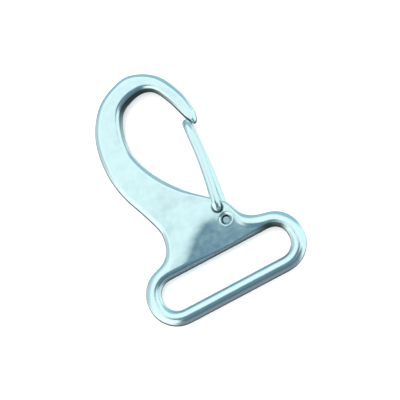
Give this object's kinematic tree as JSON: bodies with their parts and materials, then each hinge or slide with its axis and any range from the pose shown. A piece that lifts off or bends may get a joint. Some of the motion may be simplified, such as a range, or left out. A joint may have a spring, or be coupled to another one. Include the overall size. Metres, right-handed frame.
{
  "type": "wire-gate strap hook",
  "caption": "Polished one-piece webbing hook: open crook, flat neck and wide strap eye, closed by a sprung bent-wire gate that folds inwards.",
  "frame": {"origin": "middle of the webbing slot, half way through the casting's thickness", "axes": "+Y from the eye towards the top of the crook, +X along the eye towards the gate's side, +Z out of the front face"},
  "size_m": [0.033, 0.0489, 0.0066],
  "materials": {
    "cast_steel": "polished stainless casting",
    "spring_wire": "bright drawn stainless spring wire"
  },
  "bodies": {
    "hook": {"hook_body": "cast_steel"},
    "gate_front": {"gate_wire_front": "spring_wire"},
    "gate_back": {"gate_wire_back": "spring_wire"}
  },
  "joints": [
    {"name": "gate_swing", "type": "hinge", "parent": "hook", "child": "gate_front", "pos_m": [0.00395, 0.01105, 0], "axis": [0, 0, 1], "range_deg": [0, 35], "stiffness_Nm_per_rad": 0.02, "springref_deg": -9.74},
    {"name": "gate_back_swing", "type": "hinge", "parent": "hook", "child": "gate_back", "pos_m": [0.00435, 0.0083, 0], "axis": [0, 0, 1], "range_deg": [0, 31]}
  ],
  "couplings": [
    {"joint": "gate_back_swing", "follows": "gate_swing", "ratio": 0.869}
  ]
}
